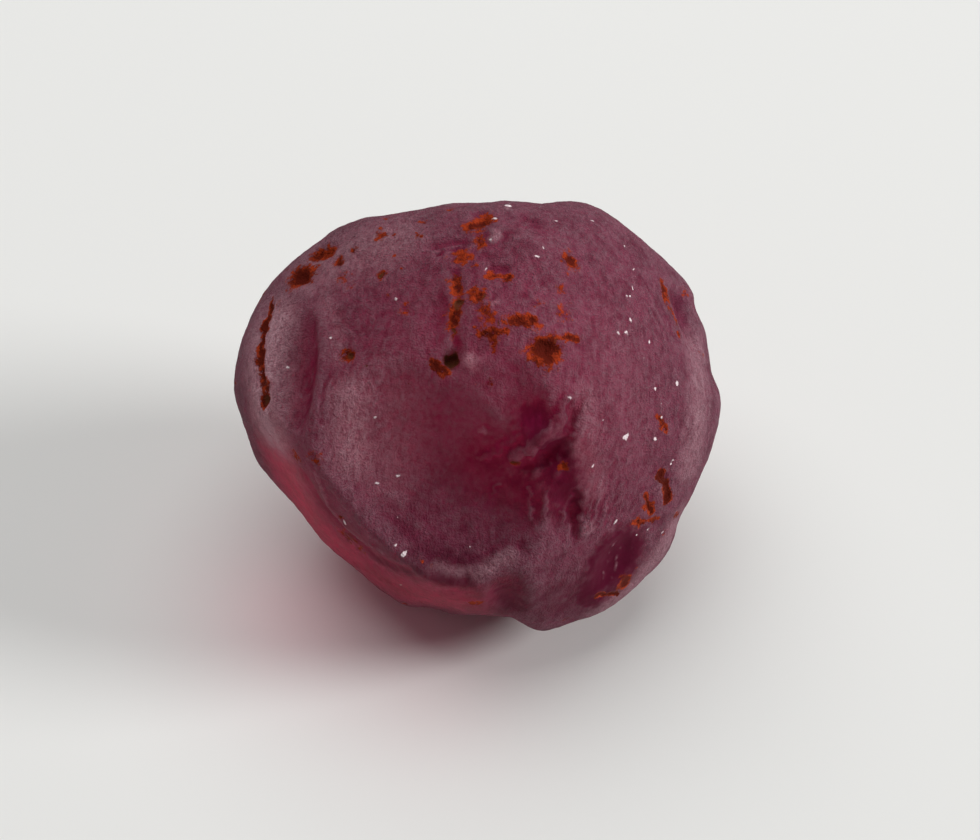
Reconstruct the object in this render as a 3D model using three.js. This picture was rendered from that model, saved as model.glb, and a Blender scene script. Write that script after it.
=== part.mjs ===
// Rough garnet: one stream-worn, etched crystal fragment, about 12 mm across.
// It is a single solid that rests on a small flat underside. Millimetres, +Z up.
//
// The stone is described in its own face frame: X runs to the right, Y up the broad
// face and Z straight out of it. At the end it is leaned back onto its base.

import * as THREE from "three";
import { ConvexHull } from "three/addons/math/ConvexHull.js";

// ---------------------------------------------------------------- driving dimensions
const LEAN_DEG = 40; // how far the broad face is tipped back from facing level
const CROWN = 5.15; // centre to the crown of the broad face, before it is hollowed
const BACK = 4.9; // centre to the back
const BASE_DROP = 4.5; // centre to the flat underside
const BASE_ROUNDING = 0.3; // how softly the underside meets the sides
const FULLNESS = 2.15; // 2 is an ellipsoid; more is blockier
const RIM_REACH = 1.6; // how far from the rim its small lobes fade out
const WAVE = 0.035; // height of the gentle swells all over the stone

const FIRST_POINTS = 1250; // points spread evenly over the stone to begin with
const FINEST_EDGE = 0.09; // no triangle edge is split below twice this
const SAG = 0.0145; // an edge that misses the surface by more than this is split
const SPLITS = 4; // rounds of splitting
const SWAPS = 4; // rounds of swapping diagonals
const SWAP_GAIN = 0.6; // a swap leaves at most this share of the miss
const MARK_EDGE = 0.85; // longest edge beside a mark, as a share of the mark's half width
const LEAST_CORNER_DEG = 14; // no swap leaves a triangle corner sharper than this
const STONE_COLOUR = 0x6f2040;

// The rim of the stone, seen square to the broad face, clockwise from the top bump.
const RIM = [
  [0.63, 5.3], [1.07, 5.2], [1.51, 5.15], [2.29, 5.22], [2.91, 5.1], [3.52, 4.69],
  [4.22, 4.12], [4.74, 3.64], [5.14, 3.38], [5.36, 2.98], [5.4, 2.59], [5.53, 2.15],
  [5.66, 1.45], [5.77, 0.93], [5.95, 0.75], [6.04, 0.23], [5.88, -0.39], [5.66, -1.09],
  [5.31, -1.87], [4.92, -2.57], [4.76, -3.34], [4.35, -4.13], [3.75, -4.66], [3.1, -4.95],
  [2.38, -5.13], [1.59, -5.35], [1.16, -5.2], [0.72, -4.85], [0.19, -4.83], [-0.51, -4.89],
  [-1.21, -4.72], [-1.82, -4.69], [-2.26, -4.41], [-3.05, -3.8], [-4.01, -2.92], [-4.45, -2.31],
  [-4.97, -1.74], [-5.5, -1.13], [-5.71, -0.47], [-5.89, 0.05], [-6.04, 0.67], [-5.98, 1.28],
  [-5.8, 1.98], [-5.5, 2.68], [-5.06, 3.33], [-4.53, 3.82], [-3.92, 4.25], [-3.4, 4.65],
  [-2.96, 4.84], [-2.26, 4.94], [-1.56, 5.0], [-0.68, 5.15], [0.02, 5.2],
];

// Gently bulging worn faces: the way each looks, its distance from the centre, its
// radius of curvature and how softly its edges are rounded.
const FACES = [
  { name: "right", toward: [0.6, 0.2, 0.77], at: 4.82, radius: 14, soft: 0.5 },
  { name: "upper left", toward: [-0.3, 0.42, 0.86], at: 4.8, radius: 12, soft: 0.35 },
  { name: "lower right", toward: [0.54, -0.42, 0.73], at: 4.52, radius: 22, soft: 0.9 },
  { name: "lower right edge", toward: [0.754, -0.59, 0.287], at: 5.48, radius: 40, soft: 0.04 },
  { name: "lower left bevel", toward: [-0.66, -0.66, 0.36], at: 4.74, radius: 20, soft: 0.12 },
  { name: "back", toward: [0.1, 0.15, -1], at: 4.5, radius: 14, soft: 0.5 },
  { name: "back left", toward: [-0.72, 0.1, -0.68], at: 4.8, radius: 25, soft: 0.25 },
  { name: "back right", toward: [0.7, -0.1, -0.7], at: 4.85, radius: 18, soft: 0.3 },
  { name: "back top", toward: [-0.15, 0.78, -0.6], at: 4.62, radius: 25, soft: 0.25 },
  { name: "top right", toward: [0.55, 0.62, -0.56], at: 5.2, radius: 25, soft: 0.3 },
  { name: "back low", toward: [0.35, -0.65, -0.6], at: 4.9, radius: 25, soft: 0.3 },
];

// Shell-shaped hollows, cut one after another: where the middle lies (x and y on the
// broad face, or a direction from the centre), half its length and half its width,
// its depth, the way its length points in degrees from +X, and the edge's rounding.
const HOLLOWS = [
  {
    name: "broad hollow", at: [-0.6, -1.85], opens: [-0.05, -0.36, 0.93],
    long: 4.0, wide: 2.95, deep: 1.35, turn: 0, soft: 0.25,
  },
  {
    name: "left wall", at: [-2.7, 0.3], opens: [0.28, -0.12, 0.95],
    long: 1.15, wide: 0.95, deep: 0.42, turn: 0, soft: 0.1,
  },
  {
    name: "low wall", at: [-1.5, -2.55], opens: [0.12, 0.05, 0.99],
    long: 2.2, wide: 1.25, deep: 0.22, turn: -28, soft: 0.1,
  },
  {
    name: "right wall", at: [1.35, 0.15], opens: [-0.35, -0.2, 0.91],
    long: 1.35, wide: 0.95, deep: 0.3, turn: 62, soft: 0.1,
  },
  { name: "right rim", at: [1.95, -1.5], long: 1.75, wide: 0.75, deep: 0.24, turn: 92, soft: 0.15 },
  {
    name: "upper slope", at: [-1.2, 1.2], opens: [-0.05, -0.12, 0.99],
    long: 2.3, wide: 1.0, deep: 0.2, turn: 2, soft: 0.45,
  },
  { name: "left channel", at: [-4.3, 0.9], long: 2.0, wide: 0.62, deep: 0.4, turn: 98, soft: 0.08 },
  { name: "window chip", at: [3.25, -3.58], long: 0.85, wide: 0.62, deep: 0.2, turn: 80, soft: 0.06 },
  { name: "foot valley", at: [0.66, -4.3], long: 1.1, wide: 0.5, deep: 0.28, turn: 97, soft: 0.2 },
  { name: "right ledge", at: [5.04, 2.3], long: 1.2, wide: 0.44, deep: 0.2, turn: 108, soft: 0.05 },
  { name: "top saddle", at: [1.35, 4.55], long: 1.2, wide: 0.45, deep: 0.12, turn: 118, soft: 0.1 },
  { name: "wall pocket", at: [2.2, 0.05], long: 0.65, wide: 0.34, deep: 0.2, turn: 78, soft: 0.07 },
  { name: "wall hollow", at: [1.6, -1.05], long: 0.68, wide: 0.42, deep: 0.2, turn: 35, soft: 0.07 },
  { name: "wall foot", at: [2.1, -2.5], long: 0.95, wide: 0.5, deep: 0.2, turn: 105, soft: 0.08 },
  { name: "upper left dish", at: [-3.9, 3.55], long: 0.95, wide: 0.6, deep: 0.14, turn: 50, soft: 0.1 },
  { name: "fissure dish", at: [-0.95, 2.15], long: 1.0, wide: 0.45, deep: 0.12, turn: 90, soft: 0.1 },
  { name: "back chip", at: [-0.35, 0.2, -1], long: 2.3, wide: 1.6, deep: 0.5, turn: 25, soft: 0.1 },
  { name: "right chip", at: [0.8, 0.2, -0.6], long: 1.7, wide: 1.1, deep: 0.4, turn: 70, soft: 0.08 },
  { name: "top chip", at: [-0.35, 0.9, -0.55], long: 1.6, wide: 0.9, deep: 0.3, turn: 10, soft: 0.1 },
  { name: "left shell", at: [-0.55, 0.8, -0.15], long: 2.0, wide: 1.2, deep: 0.3, turn: 35, soft: 0.12 },
  { name: "left step", at: [-0.9, 0.3, -0.5], long: 1.7, wide: 0.75, deep: 0.24, turn: 65, soft: 0.08 },
  { name: "left chip", at: [-1, -0.25, -0.35], long: 1.3, wide: 0.8, deep: 0.28, turn: 90, soft: 0.08 },
  { name: "side chip", at: [1, -0.1, -0.25], long: 1.2, wide: 0.6, deep: 0.22, turn: 100, soft: 0.08 },
];

// Small marks: the path of the middle on the broad face, half the width, and how deep
// it is; a negative depth stands proud.
const MARKS = [
  { name: "dark pit", path: [[-0.64, 1.28]], wide: 0.34, deep: 0.3 },
  { name: "fissure", path: [[-0.56, 3.4], [-0.45, 2.7], [-0.58, 2.2], [-0.5, 1.6]], wide: 0.15, deep: 0.09 },
  {
    name: "rust groove", path: [[-5.06, 2.68], [-5.2, 2.07], [-5.27, 1.37], [-5.25, 0.84]],
    wide: 0.24, deep: 0.17,
  },
  { name: "groove end", path: [[-5.12, 0.35]], wide: 0.26, deep: 0.22 },
  { name: "rust pit", path: [[-3.95, 3.9], [-3.65, 4.0]], wide: 0.3, deep: 0.18 },
  { name: "rust pit", path: [[-4.31, 3.29]], wide: 0.36, deep: 0.18 },
  { name: "small pit", path: [[-3.35, 3.68]], wide: 0.2, deep: 0.14 },
  { name: "small pit", path: [[-3.12, 1.41]], wide: 0.2, deep: 0.15 },
  { name: "rust hollow", path: [[1.3, 1.6], [1.75, 1.5]], wide: 0.32, deep: 0.14 },
  { name: "rust hollow", path: [[0.0, 4.75], [0.15, 4.6]], wide: 0.28, deep: 0.14 },
  { name: "oval pit", path: [[0.3, 3.42], [0.6, 3.42]], wide: 0.18, deep: 0.12 },
  { name: "crystal knob", path: [[0.41, 4.34]], wide: 0.3, deep: -0.1 },
  { name: "arc slit", path: [[-1.03, 3.99], [-0.7, 4.12], [-0.33, 4.12]], wide: 0.15, deep: 0.12 },
  { name: "pale facet", path: [[-0.2, 1.2], [0.15, 1.15]], wide: 0.35, deep: -0.08 },
  {
    name: "channel crest", path: [[-4.25, 2.95], [-3.8, 2.3], [-3.72, 1.4], [-3.85, 0.1]],
    wide: 0.4, deep: -0.08,
  },
  {
    name: "wall rib", path: [[0.83, -1.02], [1.54, -0.51], [1.96, -0.17], [2.18, 0.45]],
    wide: 0.24, deep: -0.16,
  },
  { name: "wall pit", path: [[0.94, -1.22]], wide: 0.14, deep: 0.1 },
  { name: "rim pit", path: [[-3.31, -2.47]], wide: 0.18, deep: 0.12 },
  {
    name: "bevel line", path: [[-4.15, -1.4], [-3.8, -2.1], [-3.2, -2.8], [-2.5, -3.4], [-1.6, -3.75]],
    wide: 0.2, deep: 0.08,
  },
  { name: "side slit", path: [[4.55, -1.5], [4.55, -2.0]], wide: 0.16, deep: 0.12 },
  { name: "side slit", path: [[4.15, -2.0], [4.15, -2.3]], wide: 0.14, deep: 0.1 },
  { name: "foot slit", path: [[3.0, -4.42], [3.4, -4.4]], wide: 0.13, deep: 0.09 },
  { name: "ledge notch", path: [[5.0, 2.9], [4.8, 2.3]], wide: 0.2, deep: 0.12 },
];

// Pits strewn over the back and the sides.
const STRAY_PITS = 16;
const STRAY_SEED = 7;
const STRAY_WIDE = [0.16, 0.36]; // half widths of the smallest and the largest
const STRAY_DEEP = 0.55; // depth as a share of the half width

// ---------------------------------------------------------------- rim
const RIM_STEPS = 720;
const RIM_BLUR = 36; // steps either side averaged, twice, for the rim without its lobes

function rimTable() {
  const points = RIM.map(([x, y]) => new THREE.Vector3(x, y, 0));
  const curve = new THREE.CatmullRomCurve3(points, true, "centripetal");
  const samples = curve.getPoints(RIM_STEPS * 4);
  const table = new Float64Array(RIM_STEPS);
  for (let i = 1; i < samples.length; i++) {
    const a = samples[i - 1];
    const b = samples[i];
    const from = Math.atan2(a.y, a.x);
    let turn = Math.atan2(b.y, b.x) - from;
    if (turn > Math.PI) turn -= 2 * Math.PI;
    if (turn < -Math.PI) turn += 2 * Math.PI;
    const first = Math.ceil((Math.min(from, from + turn) / (2 * Math.PI)) * RIM_STEPS);
    const last = Math.floor((Math.max(from, from + turn) / (2 * Math.PI)) * RIM_STEPS);
    for (let k = first; k <= last; k++) {
      const share = ((k / RIM_STEPS) * 2 * Math.PI - from) / turn;
      table[(k + RIM_STEPS) % RIM_STEPS] = a.clone().lerp(b, share).length();
    }
  }
  return table;
}

function smoothed(table, reach) {
  return table.map((_, i) => {
    let sum = 0;
    for (let k = -reach; k <= reach; k++) sum += table[(i + k + RIM_STEPS) % RIM_STEPS];
    return sum / (2 * reach + 1);
  });
}

const rimExact = rimTable();
const rimBroad = smoothed(smoothed(rimExact, RIM_BLUR), RIM_BLUR);

function lookUp(table, angle) {
  const at = ((((angle / (2 * Math.PI)) % 1) + 1) % 1) * RIM_STEPS;
  const i = Math.floor(at) % RIM_STEPS;
  return table[i] + (table[(i + 1) % RIM_STEPS] - table[i]) * (at - Math.floor(at));
}

function rimRadius(x, y, z) {
  const angle = Math.atan2(y, x);
  const detail = Math.exp(-((z / RIM_REACH) ** 2));
  const broad = lookUp(rimBroad, angle);
  return broad + (lookUp(rimExact, angle) - broad) * detail;
}

// ---------------------------------------------------------------- solid as a field
// A field is negative inside the stone and grows by about 1 for each mm outwards.
function smoothMax(a, b, soft) {
  const h = Math.max(soft - Math.abs(a - b), 0) / soft;
  return Math.max(a, b) + (h * h * soft) / 4;
}

const lean = THREE.MathUtils.degToRad(LEAN_DEG);
const DOWN = new THREE.Vector3(0, -Math.sin(lean), -Math.cos(lean)); // in the face frame
const MEAN_RADIUS = 5.3;
const FARTHEST = 9; // farther from the centre than any point of the stone
const HALVINGS = 28; // of the stretch in which the surface is looked for
const SLOPE_STEP = 0.05; // either side of a point, to find which way the surface faces

function body(p) {
  const across = Math.hypot(p.x, p.y) / rimRadius(p.x, p.y, p.z);
  const out = Math.abs(p.z) / (p.z > 0 ? CROWN : BACK);
  return ((across ** FULLNESS + out ** FULLNESS) ** (1 / FULLNESS) - 1) * MEAN_RADIUS;
}

const faces = FACES.map((face) => {
  const toward = new THREE.Vector3(...face.toward).normalize();
  return { ...face, centre: toward.multiplyScalar(face.at - face.radius) };
});
const hollows = [];
const local = new THREE.Vector3();

function hollowField(hollow, p) {
  local.copy(p).sub(hollow.centre).applyQuaternion(hollow.inward).divide(hollow.radii);
  const k0 = local.length();
  const k1 = local.divide(hollow.radii).length();
  return (k0 * (1 - k0)) / k1;
}

function field(p) {
  let f = body(p);
  for (const face of faces) f = smoothMax(f, p.distanceTo(face.centre) - face.radius, face.soft);
  for (const hollow of hollows) f = smoothMax(f, hollowField(hollow, p), hollow.soft);
  return smoothMax(f, p.dot(DOWN) - BASE_DROP, BASE_ROUNDING);
}

// The point where a ray from `origin` leaves the stone.
function surfaceFrom(origin, direction) {
  let low = 0;
  let high = FARTHEST;
  const p = new THREE.Vector3();
  for (let i = 0; i < HALVINGS; i++) {
    const middle = (low + high) / 2;
    if (field(p.copy(origin).addScaledVector(direction, middle)) < 0) low = middle;
    else high = middle;
  }
  return p.copy(origin).addScaledVector(direction, low);
}

const CENTRE = new THREE.Vector3();
const OUT = new THREE.Vector3(0, 0, 1);

function onSurface(at) {
  if (at.length === 3) return surfaceFrom(CENTRE, new THREE.Vector3(...at).normalize());
  return surfaceFrom(new THREE.Vector3(at[0], at[1], 0), OUT);
}

function normalAt(p) {
  const fieldBeside = (axis, step) => field(p.clone().addScaledVector(axis, step));
  const axes = [[1, 0, 0], [0, 1, 0], [0, 0, 1]].map((axis) => new THREE.Vector3(...axis));
  const slopes = axes.map((axis) => fieldBeside(axis, SLOPE_STEP) - fieldBeside(axis, -SLOPE_STEP));
  return new THREE.Vector3(...slopes).normalize();
}

// An ellipsoid that dips `deep` below the surface and opens to `long` by `wide` there.
function addHollow(hollow) {
  const bottom = onSurface(hollow.at);
  const normal = hollow.opens ? new THREE.Vector3(...hollow.opens).normalize() : normalAt(bottom);
  const turn = THREE.MathUtils.degToRad(hollow.turn);
  const along = new THREE.Vector3(Math.cos(turn), Math.sin(turn), 0).projectOnPlane(normal).normalize();
  const across = normal.clone().cross(along);
  const reach = (hollow.wide ** 2 + hollow.deep ** 2) / (2 * hollow.deep);
  const spread = Math.sqrt(1 - (1 - hollow.deep / reach) ** 2);
  const basis = new THREE.Matrix4().makeBasis(along, across, normal);
  hollows.push({
    soft: hollow.soft,
    centre: bottom.addScaledVector(normal, reach - hollow.deep),
    inward: new THREE.Quaternion().setFromRotationMatrix(basis).invert(),
    radii: new THREE.Vector3(hollow.long / spread, hollow.wide / spread, reach),
  });
}

HOLLOWS.forEach(addHollow);

// ---------------------------------------------------------------- swells and marks
function swell(p) {
  const a = Math.sin(1.3 * p.x + 0.9 * p.y + 0.4) * Math.sin(1.1 * p.z - 0.7 * p.x + 1.9);
  const b = Math.sin(2.1 * p.y - 1.4 * p.z + 0.8) * Math.sin(1.9 * p.x + 0.6 * p.z);
  return WAVE * (a + 0.6 * b);
}

// A repeatable stream of numbers from 0 to 1.
function numbers(seed) {
  let state = seed;
  return () => {
    state = (state * 16807) % 2147483647;
    return state / 2147483647;
  };
}

function strayPits() {
  const next = numbers(STRAY_SEED);
  const pits = [];
  while (pits.length < STRAY_PITS) {
    const at = new THREE.Vector3(next() * 2 - 1, next() * 2 - 1, next() * 2 - 1);
    const wide = THREE.MathUtils.lerp(...STRAY_WIDE, next() ** 2);
    const outside = at.length() > 1;
    const onFront = at.normalize().z > 0.1;
    const underneath = at.dot(DOWN) > 0.6;
    const deep = wide * STRAY_DEEP;
    if (!outside && !onFront && !underneath) pits.push({ path: [at.toArray()], wide, deep });
  }
  return pits;
}

const marks = [...MARKS, ...strayPits()].map((mark) => ({ ...mark, path: mark.path.map(onSurface) }));
const nearest = new THREE.Vector3();
const stretch = new THREE.Line3();

function distanceToMark(mark, p) {
  let least = p.distanceTo(mark.path[0]);
  for (let i = 1; i < mark.path.length; i++) {
    stretch.set(mark.path[i - 1], mark.path[i]).closestPointToPoint(p, true, nearest);
    least = Math.min(least, p.distanceTo(nearest));
  }
  return least;
}

function markDepth(p) {
  let depth = 0;
  for (const mark of marks) {
    const share = distanceToMark(mark, p) / mark.wide;
    if (share < 1) depth += mark.deep * (1 - share ** 2) ** 2;
  }
  return depth;
}

// Swells and marks fade out towards the flat underside, between these heights.
const SEAT_FADE = [0.05, 0.8];

function stonePoint(direction) {
  const p = surfaceFrom(CENTRE, direction);
  const seat = THREE.MathUtils.smoothstep(BASE_DROP - p.dot(DOWN), ...SEAT_FADE);
  return p.addScaledVector(direction, seat * (swell(p) - markDepth(p)));
}

// ---------------------------------------------------------------- mesh
// Directions from the centre, spread evenly along a spiral round the ball.
function evenDirections(count) {
  const turn = Math.PI * (3 - Math.sqrt(5));
  return Array.from({ length: count }, (_, i) => {
    const height = 1 - (2 * i + 1) / count;
    return new THREE.Vector3().setFromSphericalCoords(1, Math.acos(height), i * turn);
  });
}

// The triangles between directions are the faces of the hull around their ball.
function trianglesBetween(directions) {
  const place = new Map(directions.map((direction, i) => [direction, i]));
  const corner = (edge) => place.get(edge.head().point);
  const { faces: hullFaces } = new ConvexHull().setFromPoints(directions);
  return hullFaces.map(({ edge }) => [corner(edge), corner(edge.next), corner(edge.prev)]);
}

// Calls `visit` once for each edge, with its ends and the two triangles beside it.
function eachEdge(triangles, visit) {
  const waiting = new Map();
  triangles.forEach((triangle, t) => {
    triangle.forEach((a, i) => {
      const b = triangle[(i + 1) % 3];
      const other = waiting.get(`${b} ${a}`);
      if (other === undefined) waiting.set(`${a} ${b}`, t);
      else visit(a, b, t, other);
    });
  });
}

// How far the middle of a straight edge between two directions misses the surface.
function missAt(from, to) {
  const middle = stonePoint(from).lerp(stonePoint(to), 0.5);
  return middle.distanceTo(stonePoint(from.clone().add(to).normalize()));
}

// An edge is split where it misses the surface, or is long beside a small mark.
function wantsSplit(from, to) {
  const a = stonePoint(from);
  const b = stonePoint(to);
  const span = a.distanceTo(b);
  if (span < 2 * FINEST_EDGE) return false;
  const middle = a.lerp(b, 0.5);
  const besideMark = (mark) => distanceToMark(mark, middle) < mark.wide;
  const coarse = marks.some((mark) => span > MARK_EDGE * mark.wide && besideMark(mark));
  return coarse || missAt(from, to) > SAG;
}

function withSplits(directions) {
  const added = [];
  eachEdge(trianglesBetween(directions), (a, b) => {
    const [from, to] = [directions[a], directions[b]];
    if (wantsSplit(from, to)) added.push(from.clone().add(to).normalize());
  });
  return [...directions, ...added];
}

// Evens out the triangles by moving each point towards the middle of its neighbours.
function relaxed(directions) {
  const sums = directions.map(() => new THREE.Vector3());
  eachEdge(trianglesBetween(directions), (a, b) => {
    sums[a].add(directions[b]);
    sums[b].add(directions[a]);
  });
  return directions.map((d, i) => d.clone().lerp(sums[i].normalize(), 0.5).normalize());
}

// Swaps the diagonal of two triangles where the other diagonal lies closer to the
// surface, so that edges follow the crests and the lips of the hollows.
function swapDiagonals(directions, triangles) {
  const done = new Set();
  const points = directions.map(stonePoint);
  const facesOut = (a, b, c) => directions[a].dot(directions[b].clone().cross(directions[c])) > 0;
  const cornerAt = (a, b, c) => {
    const toB = points[b].clone().sub(points[a]);
    return THREE.MathUtils.radToDeg(toB.angleTo(points[c].clone().sub(points[a])));
  };
  const wellShaped = (a, b, c) => {
    const sharpest = Math.min(cornerAt(a, b, c), cornerAt(b, c, a), cornerAt(c, a, b));
    return facesOut(a, b, c) && sharpest > LEAST_CORNER_DEG;
  };
  eachEdge(triangles, (a, b, t, other) => {
    if (done.has(t) || done.has(other)) return;
    const c = triangles[t].find((corner) => corner !== a && corner !== b);
    const d = triangles[other].find((corner) => corner !== a && corner !== b);
    if (!wellShaped(a, d, c) || !wellShaped(d, b, c)) return;
    const miss = missAt(directions[a], directions[b]);
    if (miss < SAG / 4 || missAt(directions[c], directions[d]) > SWAP_GAIN * miss) return;
    triangles[t] = [a, d, c];
    triangles[other] = [d, b, c];
    done.add(t).add(other);
  });
}

function stoneGeometry() {
  let directions = evenDirections(FIRST_POINTS);
  for (let pass = 0; pass < SPLITS; pass++) directions = relaxed(withSplits(directions));
  const triangles = trianglesBetween(directions);
  for (let pass = 0; pass < SWAPS; pass++) swapDiagonals(directions, triangles);
  const geometry = new THREE.BufferGeometry().setFromPoints(directions.map(stonePoint));
  geometry.setIndex(triangles.flat());
  geometry.rotateX(lean);
  geometry.computeBoundingBox();
  const { min, max } = geometry.boundingBox;
  geometry.translate(-(min.x + max.x) / 2, -(min.y + max.y) / 2, -min.z);
  geometry.computeVertexNormals();
  return geometry;
}

const material = new THREE.MeshStandardMaterial({ color: STONE_COLOUR, roughness: 0.45, metalness: 0 });
const garnet = new THREE.Mesh(stoneGeometry(), material);
garnet.name = "garnet";

const part = new THREE.Group();
part.add(garnet);
export default part;
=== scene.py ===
import math

import bpy
import numpy as np
from mathutils import Matrix, Vector
from mathutils.bvhtree import BVHTree


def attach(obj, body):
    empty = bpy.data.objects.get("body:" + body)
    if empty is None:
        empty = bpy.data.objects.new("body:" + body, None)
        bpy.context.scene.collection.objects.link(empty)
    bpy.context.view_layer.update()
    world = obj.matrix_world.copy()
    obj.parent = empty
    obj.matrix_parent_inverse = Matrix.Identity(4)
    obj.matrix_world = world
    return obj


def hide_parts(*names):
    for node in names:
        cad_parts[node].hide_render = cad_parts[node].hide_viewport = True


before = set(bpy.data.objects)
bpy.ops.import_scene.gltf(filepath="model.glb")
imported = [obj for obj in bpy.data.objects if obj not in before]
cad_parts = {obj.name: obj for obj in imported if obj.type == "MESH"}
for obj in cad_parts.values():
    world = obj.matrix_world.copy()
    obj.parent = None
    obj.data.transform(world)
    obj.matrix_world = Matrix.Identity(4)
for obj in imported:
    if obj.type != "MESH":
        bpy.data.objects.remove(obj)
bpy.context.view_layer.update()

# ---------------------------------------------------------------- the face frame
# Lengths are in mm in the stone's face frame: X right, Y up the broad face, Z out of it.
MM = 0.001
LEAN = math.radians(40)
FACE_ORIGIN = Vector((0.0528, 0.1320, 4.5))  # in the row frame
FACE_TO_ROW = Matrix.Translation(FACE_ORIGIN) @ Matrix.Rotation(LEAN, 4, "X")

# ---------------------------------------------------------------- driving values
FREQUENCY = 98  # the skin has 20 times its square in triangles
FRONT_CROWDING = 0.22  # how much closer the skin's points lie on the broad face
SMOOTHING = 4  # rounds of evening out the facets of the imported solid
SEAT_FADE = (0.02, 0.5)  # heights over the flat underside between which relief fades in
ABOVE = 9  # a height over the whole stone, in its face frame
CREST_ROUNDS = 6  # rounds of smoothing that crests and hollows are measured against
CREST_HEIGHT = 0.012  # a crest or hollow this far from the smoothed skin counts in full

# The frost is full on the broad side and thins out towards the back, in patches.
BROAD = (-0.75, -0.10)  # cosine to the broad side's axis at the thinnest and at full frost
THINNEST = 0.16  # how much of the frost is left on the back
PATCHES = (1.6, 41)  # size and seed
PATCHINESS = 0.3  # how far the patches shift that cosine, right at the back

NOISE_SIZE = 32  # side of the lattice of random gradients
NOISE_GAIN = 1.6  # brings the noise to about -1 to 1
WARP = 0.10  # how far the outlines of marks stray
WARP_SIZE = 0.20  # and over what length
WARP_SEEDS = (21, 22, 23)  # for X, Y and Z

# Wide, soft undulations and finer and finer etching: size, height, and a seed each.
ETCHING = [
    (1.1, 0.030, 11),
    (0.5, 0.013, 12),
    (0.25, 0.012, 13),
    (0.13, 0.006, 14),
]

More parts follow.
